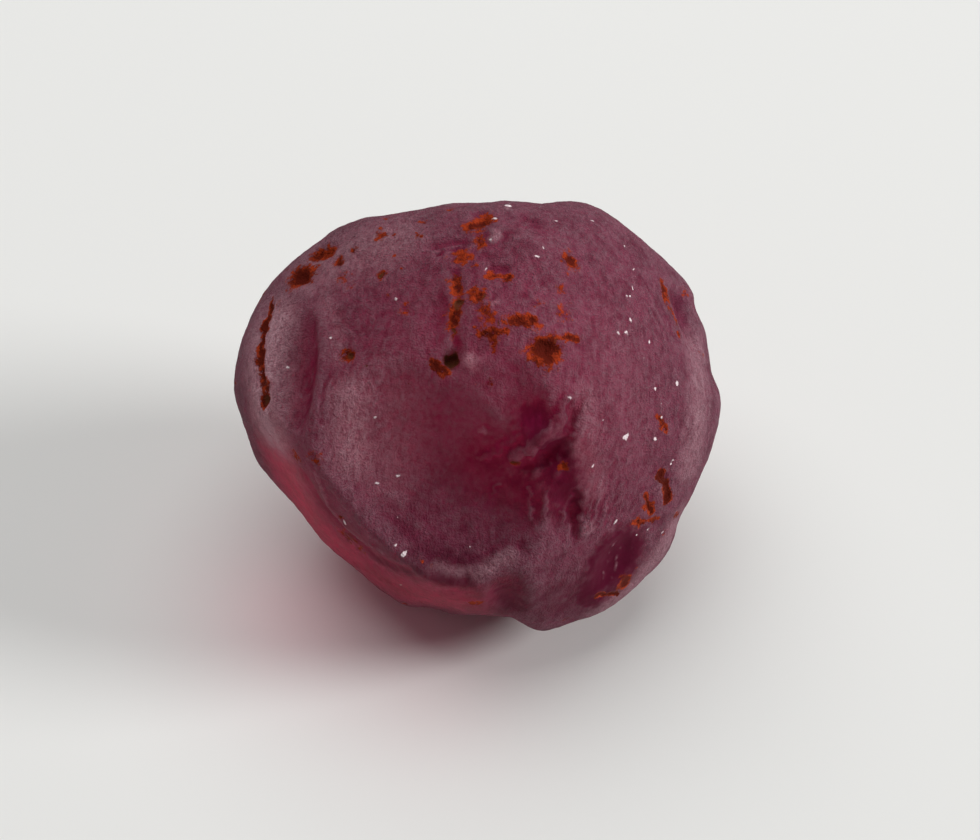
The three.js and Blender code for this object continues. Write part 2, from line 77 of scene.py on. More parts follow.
# Rust stains on the broad side: path, half width, depth and how strong the stain is.
STAINS = [
    ([(-3.89, 3.82), (-3.57, 3.89)], 0.18, 0.05, 1.0),
    ([(-4.25, 3.25)], 0.30, 0.06, 1.15),
    ([(-3.33, 3.63)], 0.13, 0.04, 1.0),
    ([(-3.02, 3.97)], 0.09, 0.03, 0.8),
    ([(-3.23, 3.29)], 0.20, 0.02, 0.55),
    ([(-4.84, 2.72), (-4.83, 2.50)], 0.07, 0.02, 0.6),
    ([(-3.07, 3.07)], 0.12, 0.02, 0.5),
    ([(-4.99, 2.71), (-5.15, 2.17), (-5.24, 1.50)], 0.07, 0.04, 1.5),
    ([(-5.24, 1.50), (-5.19, 0.99), (-5.08, 0.64)], 0.12, 0.05, 1.0),
    ([(-5.01, 0.36)], 0.16, 0.06, 1.3),
    ([(-3.02, 1.35)], 0.16, 0.06, 1.0),
    ([(-2.36, 4.29)], 0.13, 0.03, 0.9),
    ([(-2.40, 4.48)], 0.06, 0.02, 0.9),
    ([(-2.24, 4.74)], 0.09, 0.02, 0.6),
    ([(-2.08, 4.28)], 0.06, 0.02, 0.9),
    ([(-1.49, 4.25)], 0.06, 0.03, 1.0),
    ([(-1.37, 4.24)], 0.05, 0.02, 0.9),
    ([(-1.35, 4.62)], 0.08, 0.02, 0.7),
    ([(-2.03, 3.80)], 0.06, 0.02, 0.9),
    ([(-2.09, 3.68)], 0.05, 0.02, 0.8),
    ([(-1.85, 3.43)], 0.06, 0.02, 0.7),
    ([(-2.34, 3.32)], 0.10, 0.04, 1.0),
    ([(-2.20, 2.81)], 0.07, 0.02, 0.6),
    ([(-1.72, 2.60), (-1.72, 2.43)], 0.11, 0.02, 0.6),
    ([(-0.73, 4.96)], 0.06, 0.02, 0.9),
    ([(-0.13, 4.51), (0.18, 4.59)], 0.20, 0.05, 1.0),
    ([(0.14, 4.72)], 0.12, 0.03, 0.8),
    ([(-0.03, 4.18), (0.04, 4.01)], 0.12, 0.03, 0.85),
    ([(-0.40, 3.71)], 0.19, 0.03, 1.0),
    ([(-0.08, 3.49)], 0.06, 0.02, 0.8),
    ([(0.21, 3.26), (0.65, 3.25)], 0.11, 0.04, 1.0),
    ([(-0.57, 3.14), (-0.50, 2.85)], 0.14, 0.03, 0.9),
    ([(-0.45, 2.59)], 0.12, 0.05, 0.95),
    ([(-0.57, 2.40), (-0.59, 2.14)], 0.16, 0.04, 1.0),
    ([(-0.59, 1.91)], 0.10, 0.05, 0.8),
    ([(-0.04, 2.77)], 0.17, 0.05, 1.0),
    ([(0.11, 2.44), (0.23, 2.25)], 0.16, 0.03, 0.8),
    ([(0.02, 1.90), (0.55, 1.92)], 0.11, 0.03, 0.95),
    ([(0.33, 1.78), (0.33, 1.52)], 0.10, 0.03, 0.7),
    ([(-1.06, 1.20), (-0.95, 1.06), (-0.75, 0.98)], 0.11, 0.03, 1.0),
    ([(0.77, 2.20), (1.00, 2.18), (1.25, 2.16)], 0.15, 0.04, 1.0),
    ([(1.36, 2.61)], 0.12, 0.02, 0.55),
    ([(1.54, 1.47)], 0.30, 0.07, 1.2),
    ([(1.21, 1.46)], 0.17, 0.03, 0.8),
    ([(2.14, 3.62)], 0.19, 0.04, 1.0),
    ([(2.04, 3.31)], 0.10, 0.01, 0.5),
    ([(1.91, 2.95)], 0.11, 0.03, 0.8),
    ([(1.96, 2.36)], 0.20, 0.02, 0.55),
    ([(2.00, 1.82), (2.26, 1.75)], 0.11, 0.03, 1.0),
    ([(0.18, 0.73)], 0.12, 0.02, 0.5),
    ([(4.44, 3.14), (4.54, 2.80)], 0.09, 0.03, 1.0),
    ([(4.55, 2.68), (4.67, 2.46)], 0.09, 0.03, 0.7),
    ([(4.75, 2.26)], 0.07, 0.02, 0.9),
    ([(4.76, 1.98)], 0.07, 0.02, 0.9),
    ([(5.03, 3.02)], 0.12, 0.03, 0.7),
    ([(-4.33, -0.99)], 0.20, 0.02, 0.6),
    ([(-3.89, -1.00)], 0.17, 0.02, 0.6),
    ([(-3.27, -2.41)], 0.08, 0.05, 1.0),
    ([(-3.26, -2.86), (-3.06, -3.03)], 0.17, 0.02, 0.6),
    ([(-2.86, -3.22)], 0.13, 0.02, 0.55),
    ([(-1.36, -3.45)], 0.06, 0.03, 0.9),
    ([(-1.07, -3.56)], 0.06, 0.03, 0.8),
    ([(-0.08, -4.50)], 0.11, 0.03, 0.9),
    ([(-1.44, -4.53)], 0.07, 0.02, 0.7),
    ([(0.86, -1.17)], 0.09, 0.05, 0.9),
    ([(1.97, -1.21)], 0.10, 0.03, 1.0),
    ([(4.30, -0.04), (4.44, -0.32)], 0.08, 0.03, 1.0),
    ([(4.35, -1.46), (4.46, -1.74), (4.53, -2.05)], 0.10, 0.06, 1.6),
    ([(3.98, -1.95), (4.14, -2.33)], 0.08, 0.05, 1.2),
    ([(3.72, -2.60), (3.89, -2.57)], 0.10, 0.02, 1.0),
    ([(3.89, -2.57), (4.22, -2.55), (4.90, -2.41)], 0.06, 0.02, 0.85),
    ([(2.85, -4.38), (3.36, -4.36)], 0.05, 0.04, 1.5),
    ([(3.83, -3.71)], 0.06, 0.02, 0.7),
    ([(3.53, -4.07)], 0.16, 0.02, 1.4),
]
STAIN_SPREAD = 2.5  # how far a stain fades out, in its half widths

# Dark holes on the broad side: middle and half width.
DARK_PITS = [
    ((-0.62, 1.27), 0.21), ((-0.45, 2.59), 0.10), ((-0.59, 1.93), 0.08), ((0.43, 3.29), 0.06),
    ((-5.01, 0.38), 0.10), ((-3.02, 1.37), 0.08), ((0.14, 2.76), 0.06), ((0.44, 2.12), 0.05),
    ((0.86, -1.15), 0.08), ((-3.27, -2.42), 0.05), ((-1.49, 4.25), 0.035), ((-2.34, 3.32), 0.05),
    ((4.62, 2.57), 0.07), ((1.36, 1.72), 0.04), ((1.60, 1.75), 0.04), ((1.76, 1.70), 0.04),
    ((-2.70, 1.15), 0.05), ((-0.42, 4.15), 0.04), ((-2.60, 2.20), 0.03), ((-2.70, 0.63), 0.03),
    ((-1.62, 0.72), 0.025), ((-2.42, 0.34), 0.03), ((-2.09, 0.34), 0.025), ((-1.10, -3.53), 0.03),
]
PIT_DEEP = 0.25  # depth as a share of the half width

# Lines that both stand out and are pale; the paleness is painted highlight along them.
LOW_RIM = [(-3.86, -1.35), (-3.65, -2.01), (-3.34, -2.52), (-2.85, -2.99), (-2.34, -3.26)]
LOW_RIB = [(-1.07, -3.56), (-0.55, -3.72), (0.18, -3.70)]
CHIP_RIBS = [(3.28, -2.98), (2.99, -3.92)], [(3.40, -3.20), (3.23, -3.93)]

# Bare relief on the broad side: path, half width and depth; a negative depth is raised.
RELIEF = [
    ([(-0.66, 1.24)], 0.28, 0.06),
    ([(-1.00, 3.79), (-0.79, 3.93), (-0.42, 3.94)], 0.10, 0.07),
    ([(2.07, 0.25), (2.17, -0.03), (2.07, -0.29)], 0.20, 0.10),
    ([(2.13, -0.59), (1.77, -0.78), (1.42, -1.01), (1.14, -1.16)], 0.30, 0.12),
    ([(2.31, -1.90), (2.20, -2.45), (2.30, -2.96)], 0.20, 0.10),
    ([(2.04, 0.41), (1.83, -0.17), (1.44, -0.50), (1.12, -0.82), (0.77, -0.97)], 0.20, -0.10),
    ([(0.09, -1.00), (0.49, -0.83), (0.95, -0.50)], 0.16, -0.06),
    ([(0.37, 4.20)], 0.22, -0.07),
    ([(0.09, -0.36)], 0.14, -0.05),
    ([(1.86, -2.13)], 0.09, -0.05),
    ([(1.98, -2.28)], 0.09, -0.05),
    ([(2.09, -2.35)], 0.09, -0.05),
    ([(1.22, -1.72), (1.20, -2.48)], 0.10, -0.04),
    ([(1.57, -1.82), (1.50, -2.48)], 0.10, -0.04),
    ([(3.08, -1.93), (2.85, -2.75)], 0.08, -0.03),
    ([(2.84, -1.90), (2.66, -2.60)], 0.07, -0.03),
    ([(2.62, -2.10), (2.50, -2.60)], 0.07, -0.03),
    (CHIP_RIBS[0], 0.06, -0.035),
    (CHIP_RIBS[1], 0.05, -0.03),
    ([(0.46, -1.59), (0.23, -1.94)], 0.07, -0.03),
    ([(-0.22, -3.79), (0.35, -3.58), (0.89, -3.25)], 0.16, -0.04),
    ([(-0.10, -3.55), (0.40, -3.36), (0.75, -3.15)], 0.08, -0.03),
    (LOW_RIB, 0.09, -0.03),
    (LOW_RIM, 0.10, -0.04),
]

# Fields of fine parallel scratches: middle, reach, direction in degrees from +X, spacing
# across, length along, and height.
SCRATCHES = [
    ((-3.35, 1.95), 1.2, -58, 0.13, 1.1, 0.022),
    ((-3.2, 0.1), 1.4, 75, 0.10, 0.40, 0.036),
    ((-2.2, 0.6), 1.5, 80, 0.11, 0.35, 0.026),
    ((3.2, 0.6), 2.6, 84, 0.14, 0.9, 0.012),
    ((2.8, -2.3), 0.9, 76, 0.11, 1.0, 0.022),
    ((4.5, 2.4), 0.8, -60, 0.12, 0.8, 0.020),
    ((-4.4, 1.0), 1.1, 100, 0.13, 1.2, 0.014),
    ((-2.0, -2.6), 1.6, -35, 0.16, 1.2, 0.014),
    ((0.3, -3.6), 1.0, 22, 0.10, 0.9, 0.020),
    ((0.5, 2.4), 1.3, 80, 0.12, 0.6, 0.014),
    ((1.4, -0.8), 1.2, 50, 0.12, 0.5, 0.022),
]
SCRATCH_FADE = 1.6  # a field has faded out at this many times its reach
SCRATCH_SEED = 31

# Where the frost is thinner and light comes through from behind: path, reach and how much.
THIN_FROST = [
    ([(-4.7, -1.3), (-3.9, -2.8), (-2.4, -3.9), (-0.6, -4.5)], 2.3, 0.75),
]

# Cleared places. In the photo one looks into the stone there; here they are only darker and
# smoother, and no more see-through than the rest. The darker colour is painted shade, standing in
# for the dim view into the stone and for faces turned from the light: path, reach and how much.
CLEARED_AND_SHADED = [
    ([(1.3, -0.2), (1.9, -0.9), (2.1, -1.9)], 1.2, 0.8),
    ([(0.2, -1.2), (1.4, -1.6)], 1.5, 0.6),
    ([(3.18, -3.42), (3.10, -4.05)], 1.25, 2.6),
    ([(2.55, -4.42), (2.85, -4.38)], 0.22, 2.0),
    ([(0.6, -4.3), (2.0, -4.4)], 1.2, 0.6),
    ([(-0.6, -3.9), (-2.6, -3.4), (-4.0, -1.9)], 1.0, 0.5),
    ([(0.1, 2.3)], 0.5, 0.4),
    ([(-0.65, 3.0), (-0.62, 1.8)], 0.6, 0.4),
    ([(-4.3, 1.4), (-4.1, 0.3)], 0.8, 0.25),
]

# Veils of bright magenta. In the photo they lie in the stone; here they are colours on its
# surface: path, reach and how much.
VEILS = [
    ([(0.30, -0.90), (0.60, -0.76), (0.95, -0.50), (1.30, -0.15)], 0.34, 0.9),
    ([(-0.05, -2.2), (-0.2, -1.3)], 0.45, 0.25),
    ([(0.30, -1.75), (0.15, -2.3)], 0.20, 0.6),
    ([(1.05, -1.75), (0.95, -2.6)], 0.22, 0.5),
    ([(0.02, 2.16), (0.30, 2.14)], 0.25, 0.5),
    ([(-0.95, 1.6), (-1.0, 2.3)], 0.30, 0.4),
    ([(-0.90, 3.87), (-0.45, 3.94)], 0.15, 0.5),
]

# Pale patches: where the surface is bruised or more heavily frosted, and painted highlight where
# faces catch the light: path, reach and how much.
PALE_AND_LIT = [
    ([(-0.22, 1.22)], 0.34, 1.0),
    ([(0.37, 4.20)], 0.26, 1.0),
    ([(2.36, -0.82)], 0.45, 0.5),
    ([(2.50, 0.18)], 0.26, 0.8),
    ([(0.37, 2.58)], 0.16, 0.7),
    ([(2.60, -2.70)], 0.30, 0.5),
    ([(-2.10, 2.90)], 0.16, 0.5),
    ([(0.09, -0.36)], 0.14, 0.7),
    ([(0.75, -3.35), (0.35, -3.55), (0.0, -3.75)], 0.34, 0.8),
    ([(0.65, 4.95)], 0.20, 0.7),
    ([(1.92, 1.42)], 0.12, 0.9),
    ([(-3.75, 3.0), (-3.45, 2.2), (-3.30, 1.4)], 0.50, 0.5),
    # painted highlight: these four light up the left wall of the hollow, the top left and the
    # left lobe
    ([(-2.95, 0.4), (-3.00, -0.3), (-2.95, -1.0)], 0.95, 1.0),
    ([(-2.2, 0.5), (-2.2, -1.2)], 1.4, 0.5),
    ([(-3.9, 3.4), (-2.2, 4.1)], 1.5, 0.8),
    ([(-5.0, 2.2), (-5.2, 0.6), (-5.0, -0.4)], 1.3, 1.5),
    ([(2.5, 0.4), (2.6, -0.8), (2.75, -1.8)], 0.55, 0.35),
    ([(3.6, -0.4), (3.4, 1.5)], 1.6, 0.1),
    ([(5.2, 1.6), (5.3, 0.2), (5.1, -1.2)], 0.8, 0.75),
    # painted highlight on the bright strip low on the right
    ([(4.9, -2.65, 0.2), (4.5, -3.6, 0.2), (3.8, -4.35, 0.2), (3.0, -4.9, 0.2)], 0.70, 0.8),
    (LOW_RIM, 0.12, 0.5),
    (LOW_RIB, 0.20, 0.8),
    (CHIP_RIBS[0], 0.05, 0.55),
    (CHIP_RIBS[1], 0.045, 0.5),
    ([(4.25, -1.50), (4.42, -2.05)], 0.07, 0.5),
]

# Painted glints: pale, slightly raised dots standing in for sparkles of light off the surface.
GLINT_DOTS = [
    (0.35, 4.66), (0.67, 5.01), (0.31, 4.13), (1.84, 4.64), (2.68, 4.66), (1.50, 3.94),
    (1.37, 3.68), (0.98, 3.46), (0.11, 3.39), (3.49, 2.81), (3.58, 2.81), (3.66, 3.06),
    (3.69, 3.50), (3.49, 4.06), (1.88, 1.86), (1.91, 1.41), (3.17, 1.58), (3.24, 1.74),
    (3.30, 1.89), (3.48, 1.96), (3.89, 1.37), (4.04, 1.73), (4.73, 0.76), (4.19, 0.66),
    (3.06, 2.17), (3.60, 2.25), (2.02, 0.46), (-2.09, -3.14), (-1.99, -3.12), (-1.77, -3.31),
    (-3.19, -2.59), (-1.92, -4.07), (-1.90, -2.49), (-2.47, -0.04), (-2.39, -1.62),
    (-1.92, -1.38), (-1.19, -3.69), (-0.28, -3.13), (2.93, -0.13), (2.65, -1.19), (4.35, -0.01),
    (4.52, -0.20), (4.30, 0.31), (4.16, -0.58), (4.65, -1.13), (3.27, -2.57), (3.81, -2.87),
    (4.45, -2.86), (4.07, -2.77), (-1.99, 2.76), (-3.46, 1.82), (-4.56, 1.13),
]
GLINT_DOT_WIDE = 0.036  # half width
GLINT_DOT_HIGH = 0.02
BIG_GLINT_DOTS = [  # middle and half width
    ((3.46, -0.56), 0.06), ((3.27, -2.57), 0.04), ((0.67, 5.01), 0.06), ((0.35, 4.66), 0.05),
]

# Pits strewn over the sides and the back, most of them stained.
STRAY_PITS = 150
STRAY_SEED = 5
STRAY_WIDE = (0.06, 0.24)  # smallest and largest half width
STRAY_DEEP = 0.35  # depth as a share of the half width
STRAY_RUST = 0.35  # those with less rust than this have none
STRAY_LIMIT = 0.15  # cosine to the broad side's axis beyond which there are none


# ---------------------------------------------------------------- noise
def gradient_noise(points, size, seed):
    """Smooth noise of about -1 to 1, whose bumps are `size` mm apart."""
    gradients = np.random.default_rng(seed).normal(size=(NOISE_SIZE,) * 3 + (3,))
    gradients /= np.linalg.norm(gradients, axis=-1, keepdims=True)
    q = points / size
    cell = np.floor(q).astype(int)
    part = q - cell
    ease = part**3 * (part * (part * 6 - 15) + 10)
    total = np.zeros(len(points))
    for corner in np.ndindex(2, 2, 2):
        at = (cell + corner) % NOISE_SIZE
        slope = gradients[at[:, 0], at[:, 1], at[:, 2]]
        share = np.prod(np.where(corner, ease, 1 - ease), axis=1)
        total += share * ((part - corner) * slope).sum(axis=1)
    return total * NOISE_GAIN


# ---------------------------------------------------------------- skin mesh
def geodesic(frequency):
    """Directions and triangles of an icosahedron with each edge cut into `frequency`."""
    golden = (1 + math.sqrt(5)) / 2
    corners = np.array([
        (-1, golden, 0), (1, golden, 0), (-1, -golden, 0), (1, -golden, 0),
        (0, -1, golden), (0, 1, golden), (0, -1, -golden), (0, 1, -golden),
        (golden, 0, -1), (golden, 0, 1), (-golden, 0, -1), (-golden, 0, 1),
    ])
    sides = [
        (0, 11, 5), (0, 5, 1), (0, 1, 7), (0, 7, 10), (0, 10, 11), (1, 5, 9), (5, 11, 4),
        (11, 10, 2), (10, 7, 6), (7, 1, 8), (3, 9, 4), (3, 4, 2), (3, 2, 6), (3, 6, 8),
        (3, 8, 9), (4, 9, 5), (2, 4, 11), (6, 2, 10), (8, 6, 7), (9, 8, 1),
    ]
    steps = [(i, j) for i in range(frequency + 1) for j in range(frequency + 1 - i)]
    place = {step: k for k, step in enumerate(steps)}
    small = []
    for i, j in steps:
        if i + j < frequency:
            small.append((place[i, j], place[i + 1, j], place[i, j + 1]))
        if i + j < frequency - 1:
            small.append((place[i + 1, j], place[i + 1, j + 1], place[i, j + 1]))
    share = np.array(steps) / frequency
    points, triangles = [], []
    for n, (a, b, c) in enumerate(sides):
        along = share[:, :1] * (corners[b] - corners[a])
        points.append(corners[a] + along + share[:, 1:] * (corners[c] - corners[a]))
        triangles.append(np.array(small) + n * len(steps))
    points = np.concatenate(points)
    _, first, same = np.unique(points.round(6), axis=0, return_index=True, return_inverse=True)
    directions = points[first]
    directions /= np.linalg.norm(directions, axis=1, keepdims=True)
    return directions, same.reshape(-1)[np.concatenate(triangles)]


def mesh_tree(node):
    """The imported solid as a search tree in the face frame, in mm."""
    to_face = FACE_TO_ROW.inverted() @ Matrix.Scale(1 / MM, 4)
    points = [to_face @ v.co for v in node.data.vertices]
    node.data.calc_loop_triangles()
    return BVHTree.FromPolygons(points, [tuple(t.vertices) for t in node.data.loop_triangles])


class Skin:
    """The skin's points in the face frame, with what is known about each of them."""

    def __init__(self, tree):
        self.tree = tree
        directions, self.triangles = geodesic(FREQUENCY)
        directions = directions + (0, 0, FRONT_CROWDING)
        directions /= np.linalg.norm(directions, axis=1, keepdims=True)
        corners = self.triangles
        pairs = np.concatenate([corners[:, [0, 1]], corners[:, [1, 2]], corners[:, [2, 0]]])
        self.pairs = np.unique(np.sort(pairs, axis=1), axis=0)
        self.count = len(directions)
        radii = np.array([self.reach(d) for d in directions])
        for _ in range(SMOOTHING):
            radii = self.neighbour_mean(radii)
        self.points = directions * radii[:, None]
        self.normals = self.point_normals()
        shifts = [gradient_noise(self.points, WARP_SIZE, seed) for seed in WARP_SEEDS]
        self.uneven = self.points + WARP * np.stack(shifts, axis=1)
        down = np.array(FACE_TO_ROW.inverted().to_3x3() @ Vector((0, 0, -1)))
        height = FACE_ORIGIN.z - self.points @ down
        low, high = SEAT_FADE
        fade = np.clip((height - low) / (high - low), 0, 1)
        self.seat = fade**2 * (3 - 2 * fade)

    def reach(self, direction):
        return self.tree.ray_cast(Vector(), Vector(direction))[3]

    def neighbour_mean(self, values):
        a, b = self.pairs.T
        total = np.bincount(a, values[b], self.count) + np.bincount(b, values[a], self.count)
        number = np.bincount(a, minlength=self.count) + np.bincount(b, minlength=self.count)
        return (values + total) / (1 + number)

    def point_normals(self):
        p = self.points[self.triangles]
        across = np.cross(p[:, 1] - p[:, 0], p[:, 2] - p[:, 0])
        normals = np.zeros_like(self.points)
        for corner in self.triangles.T:
            for axis in range(3):
                normals[:, axis] += np.bincount(corner, across[:, axis], self.count)
        return normals / np.linalg.norm(normals, axis=1, keepdims=True)

    def bend(self):
        """How far each point stands above its neighbours, in mm: crests are positive."""
        smooth = self.points
        for _ in range(CREST_ROUNDS):
            smooth = np.stack([self.neighbour_mean(smooth[:, axis]) for axis in range(3)], axis=1)
        return ((self.points - smooth) * self.normals).sum(axis=1)

    def on_surface(self, at):
        """(x, y) is looked up on the broad side, (x, y, z) in that direction."""
        if len(at) == 3:
            start, way = Vector(), Vector(at).normalized()
        else:
            start, way = Vector((*at, ABOVE)), Vector((0, 0, -1))
        return np.array(self.tree.ray_cast(start, way)[0])

    def distance(self, path):
        """Distance of every point from a path over the surface, made a little uneven."""
        spots = [self.on_surface(at) for at in path]
        nearest = np.linalg.norm(self.uneven - spots[0], axis=1)
        for a, b in zip(spots, spots[1:]):
            share = np.clip((self.uneven - a) @ (b - a) / ((b - a) @ (b - a)), 0, 1)
            gap = np.linalg.norm(self.uneven - a - share[:, None] * (b - a), axis=1)
            nearest = np.minimum(nearest, gap)
        return nearest

    def dab(self, path, reach):
        """1 on the path, easing to 0 at `reach` from it."""
        return (1 - np.clip(self.distance(path) / reach, 0, 1) ** 2) ** 2

    def cover(self, places):
        """How strongly each point is covered by the strongest of (path, reach, how much)."""
        total = np.zeros(self.count)
        for path, reach, much in places:
            total = np.maximum(total, much * self.dab(path, reach))
        return total


def stray_marks():
    """Pits on the sides and the back, as in STAINS, each at a direction from the middle."""
    random = np.random.default_rng(STRAY_SEED)
    marks = []
    while len(marks) < STRAY_PITS:
        at = random.normal(size=3)
        at /= np.linalg.norm(at)
        wide = STRAY_WIDE[0] + (STRAY_WIDE[1] - STRAY_WIDE[0]) * random.random() ** 3
        rust = random.random()
        if at[2] < STRAY_LIMIT:
            rust = rust if rust > STRAY_RUST else 0
            marks.append(([tuple(at)], wide, STRAY_DEEP * wide, rust))
    return marks


def scratches(skin, middle, reach, degrees, across, along, height):
    """Long ridges and grooves side by side, fading out round the middle."""
    turn = math.radians(degrees)
    way = np.array((math.cos(turn), math.sin(turn), 0))
    lengthwise = (skin.points @ way)[:, None] * way
    squeezed = lengthwise / along + (skin.points - lengthwise) / across
    fade = skin.dab([middle], reach * SCRATCH_FADE)
    return fade * height * gradient_noise(squeezed, 1, SCRATCH_SEED)


def build_skin(node):
    """The finished skin, and the values that the material reads at its points."""
    skin = Skin(mesh_tree(node))
    points = skin.points
    cosine = points[:, 2] / np.linalg.norm(points, axis=1)
    patches = gradient_noise(points, *PATCHES)
    cosine = cosine + PATCHINESS * patches * (cosine < 0) * -cosine
    broad = np.clip((cosine - BROAD[0]) / (BROAD[1] - BROAD[0]), 0, 1)
    broad = THINNEST + (1 - THINNEST) * broad
    for path, reach, much in THIN_FROST:
        broad *= 1 - much * skin.dab(path, reach)
    relief = np.zeros(skin.count)
    for size, height, seed in ETCHING:
        relief += height * gradient_noise(points, size, seed)
    for field in SCRATCHES:
        relief += scratches(skin, *field)
    for path, wide, deep in RELIEF:
        relief -= deep * skin.dab(path, wide)

    stain = np.zeros(skin.count)
    hollow = np.zeros(skin.count)
    for path, wide, deep, rust in STAINS + stray_marks():
        relief -= deep * skin.dab(path, wide)
        stain = np.maximum(stain, rust * skin.dab(path, wide * STAIN_SPREAD))
    for at, wide in DARK_PITS:
        relief -= PIT_DEEP * wide * skin.dab([at], wide)
        hollow = np.maximum(hollow, skin.dab([at], wide * STAIN_SPREAD))

    # painted glints, also raised a little
    glint_dots = [(at, GLINT_DOT_WIDE) for at in GLINT_DOTS] + BIG_GLINT_DOTS
    glint_dot = skin.cover([([at], wide * STAIN_SPREAD, 1) for at, wide in glint_dots])
    relief += GLINT_DOT_HIGH * glint_dot

    skin.points = points + skin.normals * (relief * skin.seat)[:, None]
    skin.normals = skin.point_normals()
    return skin, {
        "broad": broad,
        "stain": stain,
        "hollow": hollow,
        "clear": np.minimum(skin.cover(CLEARED_AND_SHADED), 1),
        "veil": skin.cover(VEILS),
        "pale_and_lit": skin.cover(PALE_AND_LIT),
        "glint_dot": glint_dot,
        "crest": np.clip(skin.bend() / CREST_HEIGHT, -1, 1),
    }


def make_object(skin, marks):
    rotation = np.array(FACE_TO_ROW.to_3x3())
    row_points = (skin.points @ rotation.T + np.array(FACE_ORIGIN)) * MM
    row_points[:, 2] = np.maximum(row_points[:, 2], 0)
    mesh = bpy.data.meshes.new("garnet_skin")
    mesh.from_pydata(row_points.tolist(), [], skin.triangles.tolist())
    mesh.update()
    mesh.shade_smooth()
    for name, values in marks.items():
        layer = mesh.attributes.new(name, "FLOAT", "POINT")
        layer.data.foreach_set("value", values.astype(np.float32))
    stone = bpy.data.objects.new("garnet_skin", mesh)
    bpy.context.scene.collection.objects.link(stone)
    return stone


# ---------------------------------------------------------------- materials
class Nodes:
    """Shorthand for building a node tree."""

    def __init__(self, material):
        material.use_nodes = True
        self.tree = material.node_tree
        self.tree.nodes.clear()

    def add(self, kind, **settings):
        node = self.tree.nodes.new(kind)
        for name, value in settings.items():
            setattr(node, name, value)
        return node

    def link(self, source, target):
        self.tree.links.new(source, target)

    def feed(self, socket, value):
        if isinstance(value, bpy.types.NodeSocket):
            self.link(value, socket)
        else:
            socket.default_value = value

    def math(self, operation, *values, clamp=False):
        node = self.add("ShaderNodeMath", operation=operation, use_clamp=clamp)
        for socket, value in zip(node.inputs, values):
            self.feed(socket, value)
        return node.outputs[0]

    def ramp(self, value, low, high, to_low=0.0, to_high=1.0):
        node = self.add("ShaderNodeMapRange", interpolation_type="SMOOTHSTEP")
        for socket, number in zip(node.inputs, (value, low, high, to_low, to_high)):
            self.feed(socket, number)
        return node.outputs[0]

    def blend(self, values, weights):
        """The sum of values, each with its own weight."""
        total = None
        for value, weight in zip(values, weights):
            part = self.math("MULTIPLY", value, weight)
            total = part if total is None else self.math("ADD", total, part)
        return total

    def mix(self, share, a, b):
        node = self.add("ShaderNodeMix", data_type="RGBA")
        self.feed(node.inputs[0], share)
        self.feed(node.inputs[6], a)  # 6, 7 and output 2 are the node's colours
        self.feed(node.inputs[7], b)
        return node.outputs[2]

    def attribute(self, name):
        return self.add("ShaderNodeAttribute", attribute_name=name).outputs["Fac"]

    def noise(self, place, scale, detail, rough):
        node = self.add("ShaderNodeTexNoise")
        self.link(place, node.inputs["Vector"])
        node.inputs["Scale"].default_value = scale
        node.inputs["Detail"].default_value = detail
        node.inputs["Roughness"].default_value = rough
        return node.outputs["Fac"]


# Colours are linear. They were tuned to the photo under these lights and aren't measured, and
# those of the sides and the back are guesses.
GARNET_COLOUR = (0.228, 0.012, 0.062, 1)
GARNET_DEEP = (0.155, 0.006, 0.040, 1)
# painted shade: the dark colour laid over the cleared places
PAINTED_SHADE_DARK = (0.07, 0.003, 0.015, 1)
SIDE_COLOUR = (1.0, 0.04, 0.19, 1)  # of the sides and the back, where the frost is thinner
SIDE_DEEP = (0.62, 0.024, 0.10, 1)  # of the darker patches there
FROST_COLOUR = (0.30, 0.195, 0.225, 1)
VEIL_COLOUR = (0.20, 0.008, 0.055, 1)
# pale colour, partly bruising and frost and partly painted highlight
PALE_AND_LIT_COLOUR = (0.54, 0.30, 0.35, 1)
RUST_DARK = (0.10, 0.010, 0.005, 1)
RUST_ORANGE = (0.37, 0.042, 0.012, 1)
PIT_COLOUR = (0.13, 0.040, 0.018, 1)
# colour of the painted glints
GLINT_DOT_COLOUR = (0.85, 0.72, 0.74, 1)
REFRACTION = 1.76  # about that of rhodolite garnet
SHINE = 0.03  # specular level, tuned to the photo; 0.5 would go with the refraction
ABSORPTION_COLOUR = (0.97, 0.35, 0.62, 1)
ABSORPTION_DENSITY = 200.0  # per metre
GLINT = (0.18, 0.15, 0.17, 1)  # tint of the reflections off the etched surface
BUMP_DEPTH = 0.12  # mm

# Noises: bumps per mm, detail and roughness.
SLOW = (0.55, 3.0, 0.55)
PATCHY = (2.2, 4.0, 0.55)
FINE = (8.0, 4.0, 0.65)
GRIT = (20.0, 2.0, 0.6)
STREAKS = (9.0, 3.0, 0.6)
STREAK_SQUEEZE = (1, 0.28, 1)  # makes streaks run up the broad face
NOISE_MIDDLE = 0.5

# How much of each noise or mark makes up each pattern.
WORN_MIX = (0.5, 0.5, 0.18)  # patchy, slow, crest
SPECKLE_MIX = (0.3, 0.4, 0.3)  # fine, grit, streaks
RUST_MIX = (0.4, 0.4, 0.2)  # patchy, fine, grit
CLOUD_MIX = (0.6, 0.4)  # patchy, streaks

# Soft steps: where one starts and ends, and what it goes from and to if not 0 and 1.
FROST_EDGE = (0.05, 0.55)
HAZE_BY_SPECKLE = (0.40, 0.60, 0.20, 0.44)
HAZE_BY_BROAD = (0.0, 1.0, 0.3, 1.0)
